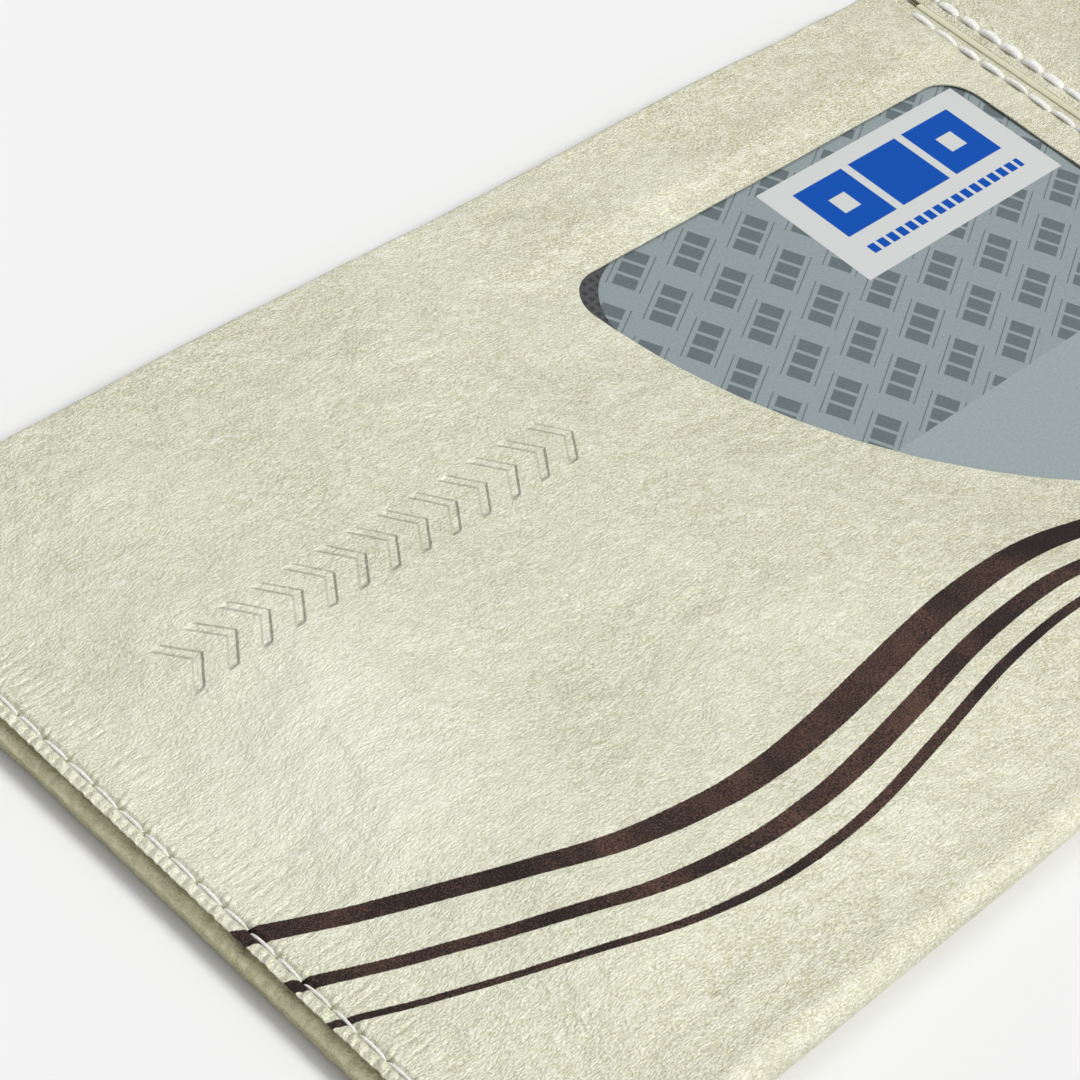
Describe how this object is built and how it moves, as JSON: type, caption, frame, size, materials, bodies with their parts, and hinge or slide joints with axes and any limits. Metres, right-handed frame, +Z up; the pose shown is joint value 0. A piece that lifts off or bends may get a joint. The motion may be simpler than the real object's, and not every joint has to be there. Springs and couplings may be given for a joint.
{
  "type": "rfid card wallet",
  "caption": "Flat two-fold card wallet of sewn paper-like sheet, open, with shielded pockets and a quarter-disc window that shows the card.",
  "frame": {"origin": "middle of the open wallet's footprint, at the face it lies on", "axes": "+X along the open wallet from the window half to the slot half, +Y from the near fold to the open far edge, +Z up, out of the inner side"},
  "size_m": [0.208, 0.0624, 0.0042],
  "materials": {
    "spunbonded_sheet": "paper-like spunbonded polyethylene, crinkled, satin",
    "lining_sheet": "paper-like spunbonded polyethylene, plain",
    "shield_cloth": "dark metallised shielding cloth, matt",
    "card_plastic": "grey card plastic, satin lacquer",
    "seam_thread": "pale twisted sewing thread, slight sheen"
  },
  "bodies": {
    "left_half": {"outer_cover_left": "spunbonded_sheet", "shield_back_left": "shield_cloth", "pocket_back_left": "lining_sheet", "shield_front_left": "shield_cloth", "window_panel": "spunbonded_sheet", "edge_thread_left": "seam_thread", "spine_thread_left": "seam_thread"},
    "card": {"pocket_card": "card_plastic"},
    "spine": {"outer_cover_spine": "spunbonded_sheet", "shield_spine": "shield_cloth", "pocket_back_spine": "lining_sheet"},
    "right_half": {"outer_cover_right": "spunbonded_sheet", "shield_back_right": "shield_cloth", "pocket_back_right": "lining_sheet", "shield_front_right": "shield_cloth", "plain_panel": "spunbonded_sheet", "slot_front": "spunbonded_sheet", "edge_thread_right": "seam_thread", "spine_thread_right": "seam_thread"}
  },
  "joints": [
    {"name": "card_slide", "type": "slide", "parent": "left_half", "child": "card", "axis": [0, 1, 0], "range_m": [0, 0.05]},
    {"name": "fold", "type": "hinge", "parent": "left_half", "child": "right_half", "pos_m": [0, 0, 0.00441], "axis": [0, -1, 0], "range_deg": [0, 179]},
    {"name": "spine_turn", "type": "hinge", "parent": "left_half", "child": "spine", "pos_m": [0, 0, 0.00441], "axis": [0, -1, 0], "range_deg": [0, 90]}
  ],
  "couplings": [
    {"joint": "spine_turn", "follows": "fold", "ratio": 0.5}
  ]
}
